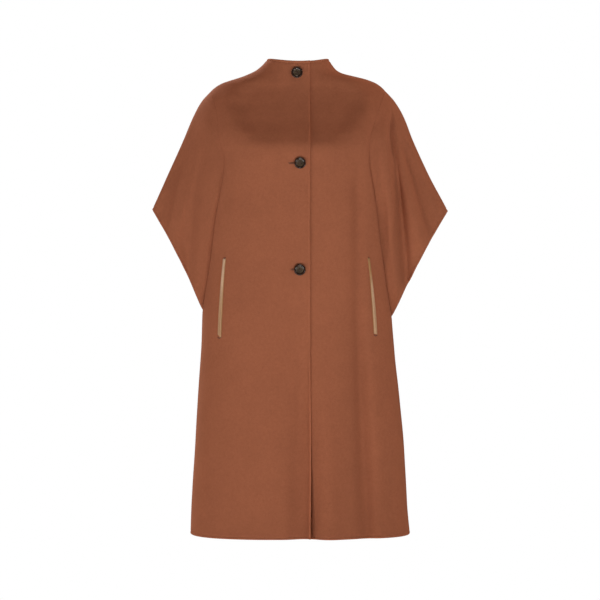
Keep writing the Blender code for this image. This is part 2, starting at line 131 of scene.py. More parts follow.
OUTLINE = curves(
    "z half shift",
    (0.0354, 0.0662, -0.0021),
    (0.0217, 0.0769, -0.0038),
    (0.0107, 0.0887, -0.0059),
    (0.0042, 0.1009, -0.0064),
    (-0.0024, 0.1202, -0.0034),
    (-0.0112, 0.1509, -0.0004),
    (-0.0199, 0.1719, -0.0013),
    (-0.034, 0.19, -0.0023),
    (-0.0571, 0.21, -0.0016),
    (-0.085, 0.219, -0.0012),
    (-0.13, 0.212, -0.0025),
    (-0.19, 0.203, -0.0035),
    (-0.28, 0.2, -0.004),
    (-0.37, 0.2005, -0.004),
    (-0.521, 0.2066, -0.0035),
    (-0.6018, 0.2113, -0.0017),
    (-0.7112, 0.2207, -0.0004),
    (-0.8205, 0.2284, 0.0011),
    (-0.93, 0.2349, 0.0012),
    (-0.9975, 0.239, 0.003),
)

ARMHOLE = curves(
    "z half shift",
    (-0.034, 0.19, -0.0023),
    (-0.09, 0.1735, -0.004),
    (-0.143, 0.1638, -0.009),
    (-0.19, 0.1578, -0.0045),
    (-0.24, 0.1645, -0.0037),
    (-0.314, 0.178, -0.0048),
    (-0.438, 0.193, -0.0048),
    (-0.521, 0.2066, -0.0035),
)

OVERARM = curves(
    "z half shift",
    (-0.034, 0.19, -0.0023),
    (-0.0571, 0.2108, -0.0016),
    (-0.0877, 0.2283, -0.0008),
    (-0.1424, 0.2512, -0.0015),
    (-0.208, 0.2808, -0.0013),
    (-0.2955, 0.3237, 0.0019),
)

SECTIONS = curves(
    "z front back square",
    (0.0354, 0.064, 0.052, 2.1),
    (0.0042, 0.067, 0.067, 2.0),
    (-0.0199, 0.0745, 0.079, 1.95),
    (-0.0571, 0.0925, 0.093, 2.1),
    (-0.1, 0.116, 0.104, 2.35),
    (-0.14, 0.1375, 0.109, 2.5),
    (-0.165, 0.1425, 0.1095, 2.55),
    (-0.28, 0.1435, 0.11, 2.65),
    (-0.37, 0.1445, 0.116, 2.7),
    (-0.521, 0.148, 0.133, 2.8),
    (-0.7112, 0.157, 0.147, 2.9),
    (-0.9975, 0.17, 0.165, 3.0),
)

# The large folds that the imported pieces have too. Each runs down from its top to the hem.
BODY_FOLDS = table(
    "layer top_x top_z hem_x width height",
    (FRONT, 0.115, -0.5, 0.141, 0.03, -0.007),
    (FRONT, 0.052, -0.62, 0.068, 0.024, 0.004),
    (FRONT, 0.022, -0.66, 0.014, 0.014, -0.006),
    (FRONT, -0.01, -0.66, -0.006, 0.016, -0.005),
    (FRONT, -0.075, -0.6, -0.085, 0.04, 0.003),
    (BACK, -0.1, -0.45, -0.13, 0.032, -0.007),
    (BACK, -0.02, -0.55, -0.03, 0.034, 0.005),
    (BACK, 0.07, -0.4, 0.09, 0.03, -0.006),
)

SLEEVE_FOLDS = table(
    "side layer top hem width height",
    (LEFT, FRONT, 0.72, 0.3, 0.095, -0.015),
    (LEFT, FRONT, 0.3, 0.13, 0.07, 0.005),
    (LEFT, FRONT, 0.62, 0.6, 0.08, 0.006),
    (LEFT, FRONT, 0.74, 0.76, 0.055, -0.005),
    (RIGHT, FRONT, 0.7, 0.32, 0.11, -0.007),
    (RIGHT, FRONT, 0.6, 0.62, 0.09, 0.005),
    (RIGHT, FRONT, 0.84, 0.82, 0.07, -0.004),
    (LEFT, BACK, 0.68, 0.38, 0.11, -0.01),
    (LEFT, BACK, 0.6, 0.68, 0.09, 0.005),
    (RIGHT, BACK, 0.66, 0.34, 0.1, -0.012),
    (RIGHT, BACK, 0.64, 0.7, 0.085, 0.005),
)

# ---- what only shows close up ----

EDGE_WIDTH = 0.0052  # from a turned edge's fold to its stitches
EDGE_DIP = 0.0009  # how deep the stitches pull the cloth in
EDGE_DIP_WIDTH = 0.0012
EDGE_PUFF = 0.0002  # how far the turned cloth stands up between fold and stitches
EDGE_RADIUS = 0.0011  # roundness of a folded edge
LAP_RIM = 0.0009  # the pressed edge of the lap stands up in a narrow rim
LAP_RIM_PLACE = 0.002
LAP_RIM_WIDTH = 0.0017
EDGE_HIGHLIGHT_REACH = 0.0016  # how far in from a turned edge the wool is drawn paler: a painted highlight where the folded nap catches light

# The seams over the shoulder, round the sleeve and down the side: how deep a valley they lie in,
# how wide that is, and how round the cloth's edges are in it.
VALLEYS = curves(
    "z depth width round",
    (0.0354, 0.0002, 0.003, 0.0003),
    (-0.034, 0.0003, 0.004, 0.0003),
    (-0.08, 0.0007, 0.01, 0.0003),
    (-0.13, 0.0027, 0.0095, 0.0004),
    (-0.165, 0.0032, 0.008, 0.0006),
    (-0.195, 0.0034, 0.0055, 0.0009),
    (-0.26, 0.0036, 0.0042, 0.0011),
    (-0.36, 0.0044, 0.0046, 0.0011),
    (-0.46, 0.0032, 0.0034, 0.0011),
    (-0.521, 0.001, 0.003, 0.0008),
    (-0.56, 0.0004, 0.0025, 0.0004),
    (-0.9975, 0.0003, 0.0025, 0.0004),
)

# Distances from an edge, in metres, at which rows or columns run along it.
TURNED_STEPS = (
    0.0, 0.0002, 0.0005, 0.0009, 0.0014, 0.0023, 0.0033, 0.0041, 0.0047, 0.0052, 0.0058, 0.0065,
    0.0078, 0.01, 0.013,
)
SEWN_STEPS = (0.0, 0.0002, 0.0005, 0.0009, 0.0014, 0.0022, 0.0033, 0.005, 0.0075, 0.0105)

LAP_COLUMNS, FRONT_COLUMNS, BACK_COLUMNS, SLEEVE_COLUMNS = 8, 72, 112, 120
SHOULDER_ROWS, ARMHOLE_ROWS, SKIRT_ROWS = 52, 116, 104
# The cloth they are spread over.
FRONT_WIDTH, BACK_WIDTH, SLEEVE_WIDTH = 0.30, 0.60, 0.40
SHOULDER_LENGTH, ARMHOLE_LENGTH, SKIRT_LENGTH = 0.19, 0.52, 0.476
SLOPE_STEP = 1e-4  # a slope is taken from points this far to each side


# ---- the form of the body ----

def share_at(x, z):
    """How far out x is at height z, as a share of the way to the side seam."""
    half, shift = OUTLINE.half(z), OUTLINE.shift(z)
    share = x / half
    for _ in range(4):
        share = (x - shift * share * share) / half
    return np.clip(share, -1.0, 1.0)


def body_folds(layer, x, z):
    total = 0.0
    for fold in BODY_FOLDS:
        if fold.layer == layer:
            down = np.clip((z - fold.top_z) / (HEM - fold.top_z), 0.0, 1.0)
            middle = mix(fold.top_x, fold.hem_x, down)
            total += fold.height * smoothstep(0.0, 1.0, down) * bump((x - middle) / fold.width)
    return total


def body_point(layer, angle, z):
    """The body's outer face at a height, at an angle of 0 at the centre to a quarter turn aside."""
    share = np.sin(angle)
    x = OUTLINE.half(z) * share + OUTLINE.shift(z) * share * share
    square = SECTIONS.square(z)
    left_over = np.maximum(1.0 - np.abs(share) ** square, 0.0)
    depth = (SECTIONS.front if layer == FRONT else SECTIONS.back)(z) * left_over ** (1.0 / square)
    depth = depth + body_folds(layer, x, z) * left_over
    depth = np.where(np.cos(angle) < 0.0, -depth, depth)
    if layer == FRONT:
        z = z - NECK_DIP * (1.0 - share * share) * smoothstep(NECK_BASE, NECK_TOP, z)
    return np.stack(np.broadcast_arrays(x, layer * depth, z), axis=-1)


def seam_angle(side, z):
    """Where a front or the back ends: at the armhole beside a sleeve, else at the side seam."""
    armhole = np.arcsin(share_at(side * ARMHOLE.half(z) + ARMHOLE.shift(z), z))
    return np.where((JOINT < z) & (z < SHOULDER), armhole, side * QUARTER)


# ---- the form of the sleeves ----

def sleeve_folds(side, layer, across, down):
    total = 0.0
    for fold in SLEEVE_FOLDS:
        if (fold.side, fold.layer) == (side, layer):
            from_middle = across - mix(fold.top, fold.hem, down)
            total += fold.height * smoothstep(0.1, 0.75, down) * bump(from_middle / fold.width)
    return total * smoothstep(0.0, 0.12, across) * smoothstep(1.0, 0.85, across)


def sleeve_point(side, turn, down):
    """The sleeve's outer face. The turn runs from -1 at the front seam, over 0 at the overarm
    fold, to 1 at the back seam, and down from 0 at the shoulder point to 1 at the hem."""
    across = 1.0 - np.abs(turn) ** 1.5
    seam_z = mix(SHOULDER, JOINT, down)
    fold_z = mix(SHOULDER, SLEEVE_TIP, down)
    seam_x = side * ARMHOLE.half(seam_z) + ARMHOLE.shift(seam_z)
    fold_x = side * OVERARM.half(fold_z) + OVERARM.shift(fold_z)
    x = mix(seam_x, fold_x, across)
    z = mix(seam_z, fold_z, across)
    x = x - side * SLEEVE_HOLLOW * 4.0 * across * (1.0 - across) * down ** 3
    depths = {}
    for layer in (FRONT, BACK):
        seam_depth = np.abs(body_point(layer, seam_angle(side, seam_z), seam_z)[..., 1])
        hem_depth = SLEEVE_DEPTH * down
        full_depth = (seam_depth ** 6 + hem_depth ** 6) ** (1.0 / 6.0)
        depth = full_depth * (1.0 - across) * (1.0 + SLEEVE_FULLNESS * across)
        depth = depth - (full_depth - seam_depth) * (1.0 - across) ** 10
        depths[layer] = depth + sleeve_folds(side, layer, across, down)
    depth = np.where(turn < 0.0, depths[FRONT], depths[BACK])
    radius = mix(SHOULDER_RADIUS, FOLD_RADIUS, smoothstep(0.0, 0.6, down))
    from_fold = (1.0 - across) * np.abs(fold_x - seam_x)
    depth = np.sqrt(np.maximum(depth, 0.0) ** 2 + 2.0 * radius * from_fold * across ** 2)
    layer = np.where(turn < 0.0, FRONT, BACK)
    return np.stack(np.broadcast_arrays(x, layer * depth, z), axis=-1)


# ---- rows and columns ----

def shares(length, count, start=(0.0,), end=(0.0,)):
    """Shares of a length: the given distances at each end, and count even steps between."""
    first, last = np.array(start) / length, 1.0 - np.array(end[::-1]) / length
    return np.concatenate([first[:-1], np.linspace(first[-1], last[0], count + 1), last[1:]])


def levels(top, bottom, *spread, **steps):
    """Heights of rows that are spread over a line which runs down just inside the seam."""
    heights = np.linspace(top, bottom, 3001)
    points = body_point(FRONT, 0.9 * seam_angle(LEFT, heights), heights)
    reached = np.concatenate([[0.0], np.cumsum(np.linalg.norm(np.diff(points, axis=0), axis=1))])
    return np.interp(shares(*spread, **steps) * reached[-1], reached, heights)


# The sleeve's hem runs slantwise, so its rows come to it over twice the distance.
SLANTED_STEPS = tuple(2.1 * step for step in TURNED_STEPS)
SHOULDER_STEPS = tuple(0.00015 * number ** 2 for number in range(9))
shoulder_levels = levels(NECK_TOP, SHOULDER, SHOULDER_LENGTH, SHOULDER_ROWS, start=TURNED_STEPS)
sleeve_levels = levels(
    SHOULDER, JOINT, ARMHOLE_LENGTH, ARMHOLE_ROWS, start=SHOULDER_STEPS, end=SLANTED_STEPS
)
sleeve_levels[0], sleeve_levels[-1] = SHOULDER, JOINT
skirt_levels = levels(JOINT, HEM, SKIRT_LENGTH, SKIRT_ROWS, end=TURNED_STEPS)
body_levels = np.concatenate([shoulder_levels[:-1], sleeve_levels, skirt_levels[1:]])
SHOULDER_ROW = len(shoulder_levels) - 1
JOINT_ROW = SHOULDER_ROW + len(sleeve_levels) - 1
ARMHOLE_SPAN = slice(SHOULDER_ROW + 1, JOINT_ROW)


def unit(vectors):
    return vectors / np.maximum(np.linalg.norm(vectors, axis=-1, keepdims=True), 1e-12)


def dot(first, second):
    return np.sum(first * second, axis=-1, keepdims=True)


def body_form(layer, angle, z):
    """Points and normals of the body's outer face at angles and heights."""
    step = SLOPE_STEP
    across = body_point(layer, angle + step, z) - body_point(layer, angle - step, z)
    above = body_point(layer, angle, np.minimum(z + step, NECK_TOP))
    up = above - body_point(layer, angle, z - step)
    return body_point(layer, angle, z), unit(-layer * np.cross(across, up))


def front_base(side):
    """A front's outer face, from its lap edge to its outer seam."""
    z = body_levels[:, None]
    from_edge = shares(2.0 * LAP_HALF, LAP_COLUMNS, start=TURNED_STEPS) * 2.0 * LAP_HALF
    lap = np.arcsin(share_at(side * (from_edge - LAP_HALF), z))
    along = shares(FRONT_WIDTH, FRONT_COLUMNS, end=SEWN_STEPS)[1:]
    panel = mix(np.arcsin(share_at(side * LAP_HALF, z)), seam_angle(side, z), along)
    return body_form(FRONT, np.concatenate([lap, panel], axis=1), z)


def back_base():
    """The back's outer face, from its right seam to its left one."""
    z = body_levels[:, None]
    along = shares(BACK_WIDTH, BACK_COLUMNS, start=SEWN_STEPS, end=SEWN_STEPS)
    return body_form(BACK, mix(seam_angle(RIGHT, z), seam_angle(LEFT, z), along), z)


SLEEVE_DOWN = ((sleeve_levels - SHOULDER) / (JOINT - SHOULDER))[:, None]
round_arm = shares(SLEEVE_WIDTH, SLEEVE_COLUMNS, start=SEWN_STEPS, end=SEWN_STEPS)
SLEEVE_TURN = 2.0 * round_arm - 1.0


def sleeve_base(side):
    """A sleeve's outer face, from its front seam over the overarm fold to its back seam."""
    step = SLOPE_STEP
    low, high = np.maximum(SLEEVE_TURN - step, -1.0), np.minimum(SLEEVE_TURN + step, 1.0)
    down = np.maximum(SLEEVE_DOWN, 0.002)
    across = sleeve_point(side, high, down) - sleeve_point(side, low, down)
    along = sleeve_point(side, SLEEVE_TURN, np.minimum(down + step, 1.0))
    along = along - sleeve_point(side, SLEEVE_TURN, down - step)
    return sleeve_point(side, SLEEVE_TURN, SLEEVE_DOWN), unit(-side * np.cross(across, along))


def relieved_normals(points, normals, height):
    """The normals once each point is moved out along its own by that height."""
    across, along = (np.gradient(points, axis=axis) for axis in (1, 0))
    rise_across, rise_along = (np.gradient(height, axis=axis)[..., None] for axis in (1, 0))
    across = across - normals * dot(across, normals)
    along = along - normals * dot(along, normals)
    aa, ab, bb = dot(across, across), dot(across, along), dot(along, along)
    area = aa * bb - ab * ab
    whole = area > 1e-6 * aa * bb + 1e-30
    area = np.where(whole, area, 1.0)
    share_across = np.where(whole, (rise_across * bb - rise_along * ab) / area, 0.0)
    share_along = np.where(whole, (rise_along * aa - rise_across * ab) / area, 0.0)
    slope = share_across * across + share_along * along
    steep = np.maximum(np.linalg.norm(slope, axis=-1, keepdims=True), 1.0)
    return unit(normals - slope / steep)


def distance_to(points, edge):
    """How far each point is from the nearest spot of an edge, given as a row of points."""
    flat = points.reshape(-1, 3)
    found = np.empty(len(flat))
    for first in range(0, len(flat), 4000):
        some = flat[first : first + 4000]
        reach = np.sum(some**2, axis=1)[:, None] - 2.0 * some @ edge.T + np.sum(edge**2, axis=1)
        nearest = np.argmin(reach, axis=1)
        best = np.full(len(some), np.inf)
        for start in (np.maximum(nearest - 1, 0), np.minimum(nearest, len(edge) - 2)):
            run = edge[start + 1] - edge[start]
            offset = some - edge[start]
            share = np.clip(dot(offset, run) / np.maximum(dot(run, run), 1e-18), 0.0, 1.0)
            best = np.minimum(best, np.linalg.norm(offset - share * run, axis=1))
        found[first : first + 4000] = best
    return found.reshape(points.shape[:2])


def edge_distances(points):
    """How far each point of a piece is from each of its edges."""
    edges = {"start": points[:, 0], "end": points[:, -1], "top": points[0], "bottom": points[-1]}
    return {name: distance_to(points, edge) for name, edge in edges.items()}


# ---- creases ----

# A soft trough (height below 0) or ridge from (u1, v1) down to (u2, v2), of half width w1 to
# w2, which fades in and out over shares of its length and bows sideways in the middle. On the
# body u is x and v the height. On a sleeve u is 0 at the seam and 1 at the overarm fold, and v
# is 0 at the shoulder point and 1 at the hem; at its armhole u is the distance from the seam
# and v the height.
CREASES = {
    # Both fronts.
    "front": [
        (0.126, -0.17, 0.127, -0.62, 0.013, 0.016, -0.0085, 0.25, 0.3),
        (0.127, -0.46, 0.151, -1.05, 0.015, 0.019, -0.016, 0.35, 0.1),
        (0.106, -0.48, 0.122, -1.05, 0.02, 0.028, -0.004, 0.35, 0.1),
        (0.176, -0.78, 0.184, -1.05, 0.03, 0.036, -0.008, 0.6, 0.05),
        (0.056, -0.6, 0.066, -1.05, 0.018, 0.024, 0.003, 0.4, 0.1),
        (-0.148, -0.012, -0.158, -0.16, 0.022, 0.026, 0.003, 0.3, 0.4),
        (0.152, -0.02, 0.16, -0.15, 0.024, 0.028, 0.0016, 0.3, 0.4),
        (-0.118, -0.2, -0.128, -0.42, 0.012, 0.014, -0.0008, 0.3, 0.4),
        (-0.05, -0.56, -0.066, -0.95, 0.02, 0.026, 0.0024, 0.4, 0.3),
        (0.002, -0.5, 0.01, -1.05, 0.016, 0.022, -0.009, 0.45, 0.1),
        (0.017, -0.56, 0.018, -1.05, 0.006, 0.009, -0.0055, 0.5, 0.05),
    ],
    # Just beside the lap.
    "front_left": [
        (0.03, -0.82, 0.031, -1.03, 0.006, 0.007, -0.0062, 0.8, 0.05),
        (0.036, -0.76, 0.04, -1.05, 0.012, 0.018, -0.003, 0.6, 0.1),
    ],
    # A deep trough from the shoulder, shallow ones under it, and three ridges.
    "sleeve_left_front": [
        (0.69, 0.11, 0.52, 0.52, 0.06, 0.06, -0.0092, 0.5, 0.45),
        (0.71, 0.1, 0.62, 0.36, 0.04, 0.045, -0.0036, 0.5, 0.5),
        (0.44, 0.1, 0.1, 0.82, 0.11, 0.08, 0.0092, 0.3, 0.3),
        (0.51, 0.38, 0.35, 1.0, 0.047, 0.07, -0.0029, 0.3, 0.18),
        (0.59, 0.34, 0.6, 1.0, 0.122, 0.17, 0.0064, 0.35, 0.14, -0.01),
        (0.79, 0.34, 0.74, 1.0, 0.045, 0.06, -0.0026, 0.3, 0.2, 0.01),
        (0.84, 0.26, 0.95, 1.0, 0.05, 0.055, 0.0066, 0.3, 0.1, 0.01),
    ],
    "sleeve_left_armhole": [
        (0.0045, -0.25, 0.0045, -0.44, 0.006, 0.006, -0.0045, 0.3, 0.4),
    ],
    # The right sleeve hangs calmer.
    "sleeve_right_front": [
        (0.71, 0.36, 0.44, 1.0, 0.06, 0.08, -0.003, 0.3, 0.25, 0.02),
        (0.8, 0.5, 0.7, 1.0, 0.06, 0.07, 0.005, 0.4, 0.15),
        (0.92, 0.46, 0.93, 1.0, 0.06, 0.065, -0.005, 0.3, 0.1),
    ],
    "sleeve_right_armhole": [
        (0.01, -0.08, 0.009, -0.34, 0.012, 0.01, -0.003, 0.3, 0.5),
    ],
    # Folds that fall from the shoulder blades, wider and deeper towards the hem.
    "back": [
        (-0.112, -0.2, -0.15, -1.05, 0.014, 0.026, -0.0085, 0.35, 0.1, 0.004),
        (-0.066, -0.38, -0.078, -1.05, 0.02, 0.03, 0.0055, 0.4, 0.1),
        (-0.02, -0.46, -0.03, -1.05, 0.016, 0.024, -0.0066, 0.4, 0.1, -0.004),
        (0.034, -0.56, 0.04, -1.05, 0.02, 0.028, 0.005, 0.45, 0.1),
        (0.092, -0.24, 0.116, -1.05, 0.015, 0.026, -0.0088, 0.35, 0.1, -0.004),
        (0.14, -0.5, 0.172, -1.05, 0.02, 0.026, 0.0046, 0.4, 0.1),
        (0.0, -0.07, 0.004, -0.2, 0.06, 0.05, -0.0012, 0.4, 0.5),
    ],
    # The backs of the sleeves.
    "sleeve_left_back": [
        (0.62, 0.14, 0.34, 1.0, 0.07, 0.11, -0.005, 0.3, 0.25, 0.01),
        (0.48, 0.26, 0.16, 0.92, 0.09, 0.08, 0.005, 0.35, 0.3),
        (0.8, 0.36, 0.84, 1.0, 0.055, 0.06, 0.0038, 0.35, 0.15),
    ],
    "sleeve_right_back": [
        (0.66, 0.18, 0.38, 1.0, 0.07, 0.1, -0.005, 0.3, 0.25),
        (0.5, 0.3, 0.18, 0.9, 0.08, 0.08, 0.0042, 0.35, 0.3, 0.01),
        (0.84, 0.4, 0.8, 1.0, 0.06, 0.06, 0.0036, 0.35, 0.15),
    ],
}
CREASE = "u1 v1 u2 v2 w1 w2 height fade_in fade_out bow"
CREASES = {on: table(CREASE, *rows, defaults=(0.0,)) for on, rows in CREASES.items()}

CREASE_REACH = 0.03  # beside a seam of the body the creases fade out over this width
CREASE_SHARE = 0.15  # on a sleeve, over this share of its width at the seam and at the fold


def crease_relief(on, u, v):
    """What the creases on a cloth add at a spot."""
    total = np.zeros(np.broadcast(u, v).shape)
    for crease in CREASES.get(on, ()):
        t = (v - crease.v1) / (crease.v2 - crease.v1)
        inside = np.clip(t, 0.0, 1.0)
        middle = mix(crease.u1, crease.u2, inside) + crease.bow * 4.0 * inside * (1.0 - inside)
        width = mix(crease.w1, crease.w2, inside)
        fade = smoothstep(0.0, crease.fade_in, t) * smoothstep(1.0, 1.0 - crease.fade_out, t)
        total = total + crease.height * fade * bump((u - middle) / width)
    return total


# The shallow dish above the fullest part of the chest: its depth at a height, half its width
# there and how far its middle lies off centre.
DISH = curves(
    "z depth half shift",
    (0.0354, 0.0, 0.07, 0.0),
    (0.005, 0.0012, 0.088, 0.0),
    (-0.01, 0.0036, 0.098, 0.0),
    (-0.03, 0.0082, 0.112, 0.0),
    (-0.045, 0.0104, 0.124, 0.0),
    (-0.07, 0.0117, 0.13, -0.003),
    (-0.095, 0.0116, 0.122, -0.005),
    (-0.12, 0.0098, 0.111, -0.007),
    (-0.134, 0.0074, 0.103, -0.007),
    (-0.146, 0.004, 0.099, -0.006),
    (-0.154, 0.0009, 0.097, -0.006),
    (-0.162, -0.0016, 0.096, -0.006),
    (-0.17, -0.003, 0.096, 0.0),
    (-0.18, -0.0034, 0.096, 0.0),
    (-0.2, -0.0022, 0.096, 0.0),
    (-0.25, 0.0, 0.096, 0.0),
)
DISH_RIM = 0.026  # the dish comes up over this width on each side
DISH_FADE = 0.09  # and fades towards the outline over this one


def chest_dish(x, z):
    """How far the chest lies in at a spot."""
    half = DISH.half(z)
    from_middle = np.abs(x - DISH.shift(z))
    from_outline = OUTLINE.half(z) - np.abs(x)
    over = smoothstep(half + DISH_RIM, half - DISH_RIM, from_middle)
    return -DISH.depth(z) * over * smoothstep(0.0, DISH_FADE, from_outline)


def unevenness(points):
    """Slow, shallow waves that keep felted cloth from looking ruled, in metres."""
    x, y, z = points[..., 0], points[..., 1], points[..., 2]
    slow = np.sin(21.0 * x + 7.0 * z + 1.3) * np.sin(9.0 * z - 13.0 * x + 11.0 * y + 0.4)
    quick = np.sin(67.0 * x - 23.0 * z + 2.1) * np.sin(31.0 * z + 41.0 * x + 37.0 * y + 0.9)
    return 0.0008 * slow + 0.00025 * quick


# ---- from forms to pieces ----

def lean(points):
    """The whole coat hangs a little lower on its left."""
    moved = points.copy()
    beside = points[..., 0] / float(OUTLINE.half(JOINT))
    moved[..., 2] -= LEAN * beside * bump((points[..., 2] - JOINT) / LEAN_REACH)
    return moved


def rounding(distance, radius):
    """How far a rounded edge falls away at a distance from it."""
    short = np.clip(1.0 - distance / radius, 0.0, 1.0)
    return radius * (1.0 - np.sqrt(np.maximum(1.0 - short * short, 0.0)))


def stitched_dip(edge, distance):
    """The relief along an edge that is turned in and stitched, or pressed at the lap."""
    if edge == "start":
        return LAP_RIM * bump((distance - LAP_RIM_PLACE) / LAP_RIM_WIDTH)
    puff = EDGE_PUFF * bump((distance - 0.5 * EDGE_WIDTH) / (0.3 * EDGE_WIDTH))
    return puff - EDGE_DIP * bump((distance - EDGE_WIDTH) / EDGE_DIP_WIDTH)


# A piece of cloth: its outer face, and which of its edges are turned in or sewn.
Panel = namedtuple("Panel", "points normals turned sewn")

PANELS = {
    "front_right": Panel(*front_base(RIGHT), ("start", "top", "bottom"), ("end",)),
    "front_left": Panel(*front_base(LEFT), ("start", "top", "bottom"), ("end",)),
    "back": Panel(*back_base(), ("top", "bottom"), ("start", "end")),
    "sleeve_right": Panel(*sleeve_base(RIGHT), ("bottom",), ("start", "end")),
    "sleeve_left": Panel(*sleeve_base(LEFT), ("bottom",), ("start", "end")),
}


def levels_of(name):
    return (sleeve_levels if name.startswith("sleeve") else body_levels)[:, None]


def nearest(distances, edges):
    return np.minimum.reduce([distances[edge] for edge in edges])


def soft_relief(name, points, to_seam):
    """Creases, seam valleys and unevenness: what both faces of a piece do together."""
    x, z = points[..., 0], levels_of(name)
    if name.startswith("sleeve"):
        across = 1.0 - np.abs(SLEEVE_TURN) ** 1.5
        creases = np.where(
            SLEEVE_TURN < 0.0,
            crease_relief(name + "_front", across, SLEEVE_DOWN),
            crease_relief(name + "_back", across, SLEEVE_DOWN),
        )
        creases = creases * smoothstep(0.0, CREASE_SHARE, across)
        creases = creases * smoothstep(1.0, 1.0 - CREASE_SHARE, across)
        beside = crease_relief(name + "_armhole", to_seam, z)
        creases = creases + np.where(SLEEVE_TURN < 0.0, beside, 0.0)
    else:
        creases = crease_relief(name, x, z)
        if name != "back":
            creases = crease_relief("front", x, z) + creases + chest_dish(x, z)
        creases = creases * smoothstep(0.0, CREASE_REACH, to_seam)
    valley = -VALLEYS.depth(z) * np.exp(-((to_seam / VALLEYS.width(z)) ** 1.5))
    return creases + valley + unevenness(points)


def share_seam_normals(normals):
    """Gives both pieces of a seam the same normals along it, so that they keep meeting."""
    back = normals["back"]
    sewn_rows = np.ones(len(body_levels), bool)
    sewn_rows[ARMHOLE_SPAN] = False
    for side, column in (("right", 0), ("left", -1)):
        front, sleeve = normals["front_" + side], normals["sleeve_" + side]
        seam = unit(front[:, -1] + back[:, column])
        front[sewn_rows, -1] = seam[sewn_rows]
        back[sewn_rows, column] = seam[sewn_rows]
        sleeve[0] = seam[SHOULDER_ROW]
        for body, body_column, sleeve_column in ((front, -1, 0), (back, column, -1)):
            armhole = unit(body[ARMHOLE_SPAN, body_column] + sleeve[1:-1, sleeve_column])
            body[ARMHOLE_SPAN, body_column] = armhole
            sleeve[1:-1, sleeve_column] = armhole
            sleeve[-1, sleeve_column] = unit(seam[JOINT_ROW] + sleeve[-1, sleeve_column])


def placed(name, points):
    """A face of a piece where it lies in the coat: clear of its seams, and leaning."""
    moved = points.copy()
    if name.startswith("sleeve"):
        side = LEFT if name.endswith("left") else RIGHT
        moved[..., 0] += side * SEAM_GAP
        moved[..., 1] += SLEEVE_TURN * SEAM_GAP / 2.0
        moved[..., 2] += SEAM_GAP * (2.0 * SLEEVE_DOWN - 1.0)
    else:
        moved[..., 1] += (BACK if name == "back" else FRONT) * SEAM_GAP / 2.0
    return lean(moved)


def lap_shift(name, points):
    """How far the right front's edge stands off, and the left front steps in to lie under it."""
    x, z = points[..., 0], points[..., 2]
    if name == "front_right":
        near_edge = smoothstep(LAP_HALF - LAP_LIFT_WIDTH, LAP_HALF, x)
        return LAP_LIFT * near_edge * smoothstep(LAP_LIFT_TOP, HEM, z)
    if name == "front_left":
        return -(CLOTH + LAP_GAP) * smoothstep(LAP_HALF + LAP_BLEND, LAP_HALF, x)
    return 0.0


def faces_of_cloth():
    """Each cloth's outer and inner face, and how near each point is to a turned edge, as the
    strength of a painted highlight there.
    """
    distances = {name: edge_distances(panel.points) for name, panel in PANELS.items()}
    to_seam = {name: nearest(distances[name], panel.sewn) for name, panel in PANELS.items()}
    form_normals = {name: panel.normals.copy() for name, panel in PANELS.items()}
    share_seam_normals(form_normals)
    formed, normals = {}, {}
    for name, panel in PANELS.items():
        relief = soft_relief(name, panel.points, to_seam[name])
        formed[name] = panel.points + form_normals[name] * relief[..., None]
        normals[name] = relieved_normals(panel.points, form_normals[name], relief)
    share_seam_normals(normals)
    made = {}
    for name, panel in PANELS.items():
        turned = nearest(distances[name], panel.turned)
        dip = sum(stitched_dip(edge, distances[name][edge]) for edge in panel.turned)
        fall_at_seam = rounding(to_seam[name], VALLEYS.round(levels_of(name)))
        fall = np.maximum(rounding(turned, EDGE_RADIUS), fall_at_seam)
        shift = lap_shift(name, panel.points)
        moves = shift + dip - fall, shift - CLOTH - 0.5 * np.minimum(dip, 0.0) + fall
        both = (placed(name, formed[name] + normals[name] * move[..., None]) for move in moves)
        # The third is a painted highlight: 1 at a turned edge, fading inwards.
        made[name] = (*both, np.exp(-turned / EDGE_HIGHLIGHT_REACH))
    return made


# ---- materials ----

def linear(hex_colour):
    """A colour written as sRGB hex, as the renderer's linear values."""
    values = [int(hex_colour[i : i + 2], 16) / 255.0 for i in (1, 3, 5)]
    return tuple(v / 12.92 if v <= 0.04045 else ((v + 0.055) / 1.055) ** 2.4 for v in values)


def add_node(owner, kind, links=None, **settings):
    """A node with settings, by property or input, and links, as input: (node, output)."""
    node = owner.node_tree.nodes.new(kind)
    for name, value in settings.items():
        if hasattr(node, name):
            setattr(node, name, value)
        else:
            node.inputs[name.replace("_", " ")].default_value = value
    for name, (source, output) in (links or {}).items():
        owner.node_tree.links.new(source.outputs[output], node.inputs[name])
    return node


